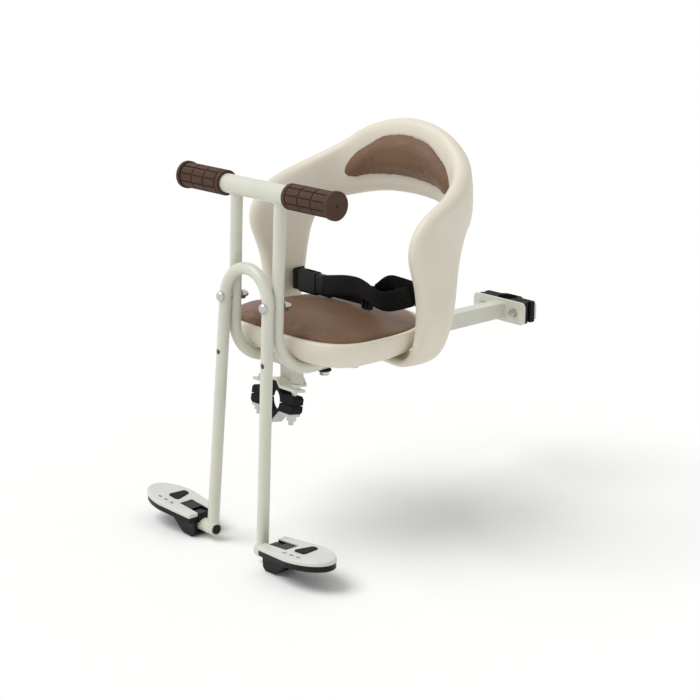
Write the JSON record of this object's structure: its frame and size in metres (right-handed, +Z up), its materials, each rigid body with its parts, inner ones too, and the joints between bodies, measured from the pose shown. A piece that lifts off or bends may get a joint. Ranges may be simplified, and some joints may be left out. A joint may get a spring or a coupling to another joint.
{
  "type": "child bike seat",
  "caption": "Front child seat for a bicycle: padded seat and hoop backrest on a tube frame with grips, folding pedals, waist belt, frame-tube clamp and seat-post clamp.",
  "frame": {"origin": "middle of the rear clamp's bore, on the axis of the bicycle's seat post", "axes": "+Z up along the seat post, -Y forward the way the child faces, +X to the child's left"},
  "size_m": [0.3298, 0.4967, 0.474],
  "materials": {
    "cream_paint": "smooth powder coat, slight gloss",
    "cream_plastic": "satin moulded skin",
    "white_plastic": "satin",
    "brown_rubber": "matt",
    "brown_leather": "fine grain, slight sheen",
    "black_webbing": "woven",
    "black_plastic": "satin",
    "black_rubber": "matt",
    "zinc_steel": "bright zinc plate",
    "blackened_steel": "black oxide"
  },
  "bodies": {
    "seat_frame": {"handlebar_tube": "cream_paint", "left_handle_post": "cream_paint", "right_handle_post": "cream_paint", "front_cross_tube": "cream_paint", "rear_cross_tube": "cream_paint", "main_beam": "cream_paint", "clamp_stem": "cream_paint", "rear_clamp_plate": "cream_paint", "front_clamp_cap": "cream_paint", "foot_frame": "cream_paint", "left_pedal_stub": "cream_paint", "right_pedal_stub": "cream_paint", "left_grip": "brown_rubber", "right_grip": "brown_rubber", "seat_shell": "cream_plastic", "backrest_hoop": "cream_plastic", "seat_cushion": "brown_leather", "backrest_pad": "brown_leather", "belt_short_strap": "black_webbing", "belt_long_strap": "black_webbing", "belt_tail": "black_webbing", "buckle_socket": "black_plastic", "buckle_tongue": "black_plastic", "belt_slider": "black_plastic", "rear_clamp_front_jaw": "black_rubber", "rear_clamp_back_jaw": "black_rubber", "front_clamp_upper_jaw": "black_rubber", "front_clamp_lower_jaw": "black_rubber", "seat_washers": "black_rubber", "rear_clamp_strap": "zinc_steel", "front_clamp_strap": "zinc_steel", "rear_clamp_bolts": "zinc_steel", "rear_clamp_nuts": "zinc_steel", "front_clamp_bolts": "zinc_steel", "front_clamp_nuts": "zinc_steel", "seat_bolts": "zinc_steel", "hoop_bolts": "zinc_steel", "belt_bolts": "zinc_steel", "foot_frame_bolts": "zinc_steel", "foot_frame_nuts": "zinc_steel"},
    "left_pedal": {"left_pedal_cover": "white_plastic", "left_pedal_base": "black_plastic", "left_pedal_insert": "black_rubber", "left_pedal_hinge_pin": "blackened_steel"},
    "right_pedal": {"right_pedal_cover": "white_plastic", "right_pedal_base": "black_plastic", "right_pedal_insert": "black_rubber", "right_pedal_hinge_pin": "blackened_steel"}
  },
  "joints": [
    {"name": "left_pedal_fold", "type": "hinge", "parent": "seat_frame", "child": "left_pedal", "pos_m": [0.07103, -0.44858, -0.20035], "axis": [0, -1, 0], "range_deg": [0, 80]},
    {"name": "right_pedal_fold", "type": "hinge", "parent": "seat_frame", "child": "right_pedal", "pos_m": [-0.07103, -0.44858, -0.20035], "axis": [0, 1, 0], "range_deg": [0, 80]}
  ]
}
